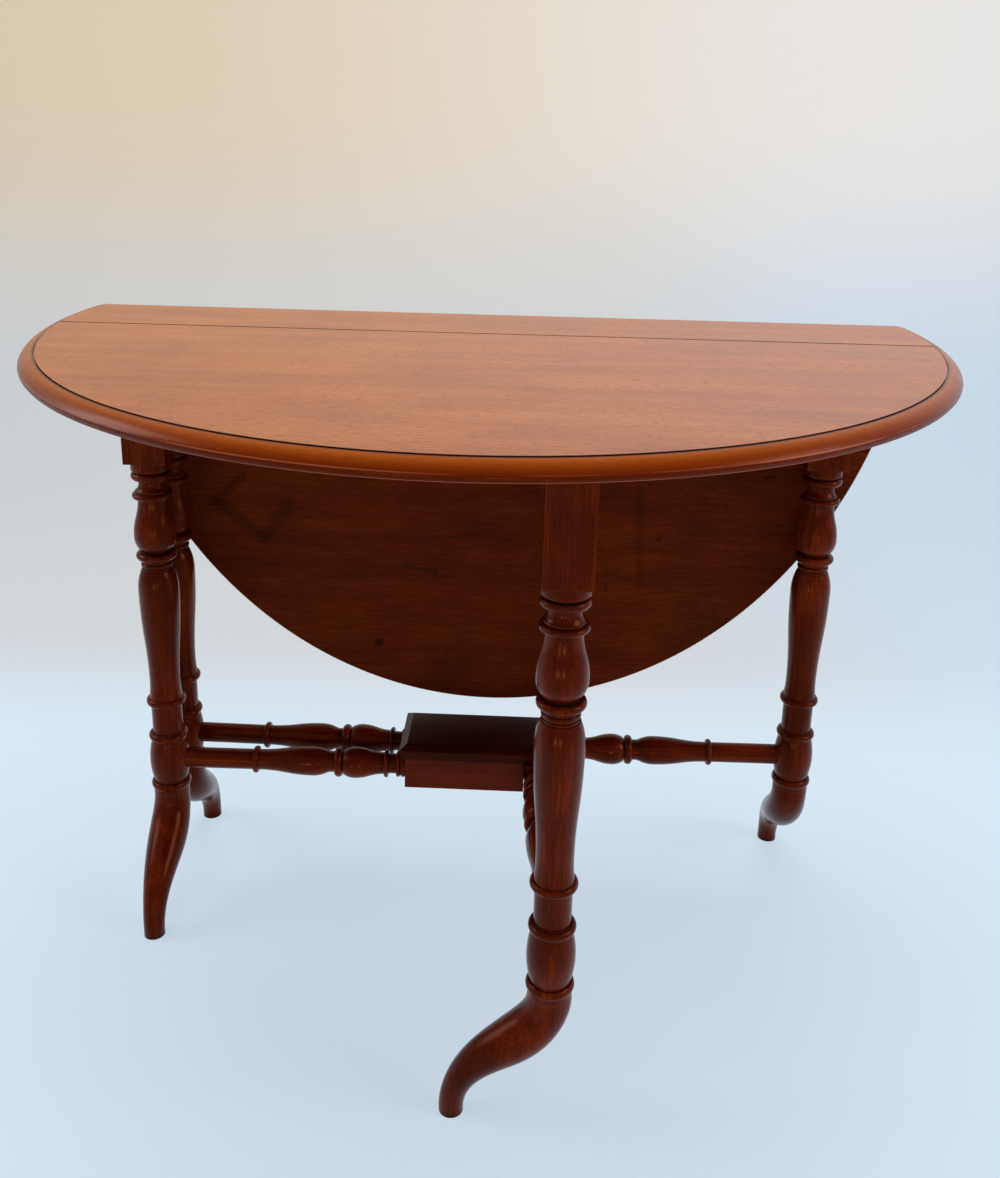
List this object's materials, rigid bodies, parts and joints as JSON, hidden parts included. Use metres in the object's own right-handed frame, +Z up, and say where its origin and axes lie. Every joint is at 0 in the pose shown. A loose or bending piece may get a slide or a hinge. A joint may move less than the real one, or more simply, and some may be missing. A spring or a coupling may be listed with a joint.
{
  "type": "sutherland table",
  "caption": "Drop-leaf oval table with a narrow fixed plank, deep moulded leaves on rule joints, turned gate legs with swept feet, and a moulded platform on turned stretchers.",
  "frame": {"origin": "on the floor under the middle of the whole table's box, with the front leaf up on its open gate and the rear leaf hanging", "axes": "+X along the rule joints to the right, +Y to the rear where the hanging leaf is, +Z up"},
  "size_m": [0.93, 0.6568, 0.7],
  "materials": {
    "top_mahogany": "satin polished mahogany",
    "turned_mahogany": "dark french-polished mahogany",
    "rail_wood": "dull oiled wood",
    "hinge_brass": "tarnished brass",
    "iron": "dark iron"
  },
  "bodies": {
    "frame": {"centre_top": "top_mahogany", "centre_rail": "rail_wood", "glue_blocks": "rail_wood", "rail_screws": "iron", "front_pivot_cleat": "rail_wood", "rear_pivot_cleat": "rail_wood", "cleat_screws": "iron", "front_upper_pin": "iron", "rear_upper_pin": "iron", "front_left_leg": "turned_mahogany", "front_left_foot": "turned_mahogany", "front_left_stretcher": "turned_mahogany", "rear_right_leg": "turned_mahogany", "rear_right_foot": "turned_mahogany", "rear_right_stretcher": "turned_mahogany", "stretcher_block": "turned_mahogany", "platform": "turned_mahogany", "platform_screws": "iron", "front_lower_pin": "iron", "rear_lower_pin": "iron", "front_plank_flaps": "hinge_brass", "rear_plank_flaps": "hinge_brass", "front_hinge_pins": "hinge_brass", "rear_hinge_pins": "hinge_brass", "front_plank_screws": "hinge_brass", "rear_plank_screws": "hinge_brass"},
    "front_leaf": {"front_leaf": "top_mahogany", "front_leaf_flaps": "hinge_brass", "front_leaf_screws": "hinge_brass"},
    "rear_leaf": {"rear_leaf": "top_mahogany", "rear_leaf_flaps": "hinge_brass", "rear_leaf_screws": "hinge_brass"},
    "front_gate": {"front_gate_leg": "turned_mahogany", "front_gate_foot": "turned_mahogany", "front_gate_stretcher": "turned_mahogany", "front_gate_rail": "rail_wood", "front_gate_pegs": "rail_wood", "front_gate_pivot_block": "turned_mahogany"},
    "rear_gate": {"rear_gate_leg": "turned_mahogany", "rear_gate_foot": "turned_mahogany", "rear_gate_stretcher": "turned_mahogany", "rear_gate_rail": "rail_wood", "rear_gate_pegs": "rail_wood", "rear_gate_pivot_block": "turned_mahogany"}
  },
  "joints": [
    {"name": "front_leaf_hinge", "type": "hinge", "parent": "frame", "child": "front_leaf", "pos_m": [0, 0.13665, 0.687], "axis": [-1, 0, 0], "range_deg": [0, 1.5]},
    {"name": "rear_leaf_hinge", "type": "hinge", "parent": "frame", "child": "rear_leaf", "pos_m": [0, 0.25665, 0.687], "axis": [1, 0, 0], "range_deg": [0, 90]},
    {"name": "front_gate_swing", "type": "hinge", "parent": "frame", "child": "front_gate", "pos_m": [0.06, 0.17165, 0], "axis": [0, 0, 1], "range_deg": [0, 86]},
    {"name": "rear_gate_swing", "type": "hinge", "parent": "frame", "child": "rear_gate", "pos_m": [-0.06, 0.22165, 0], "axis": [0, 0, -1], "range_deg": [0, 0.7]}
  ]
}
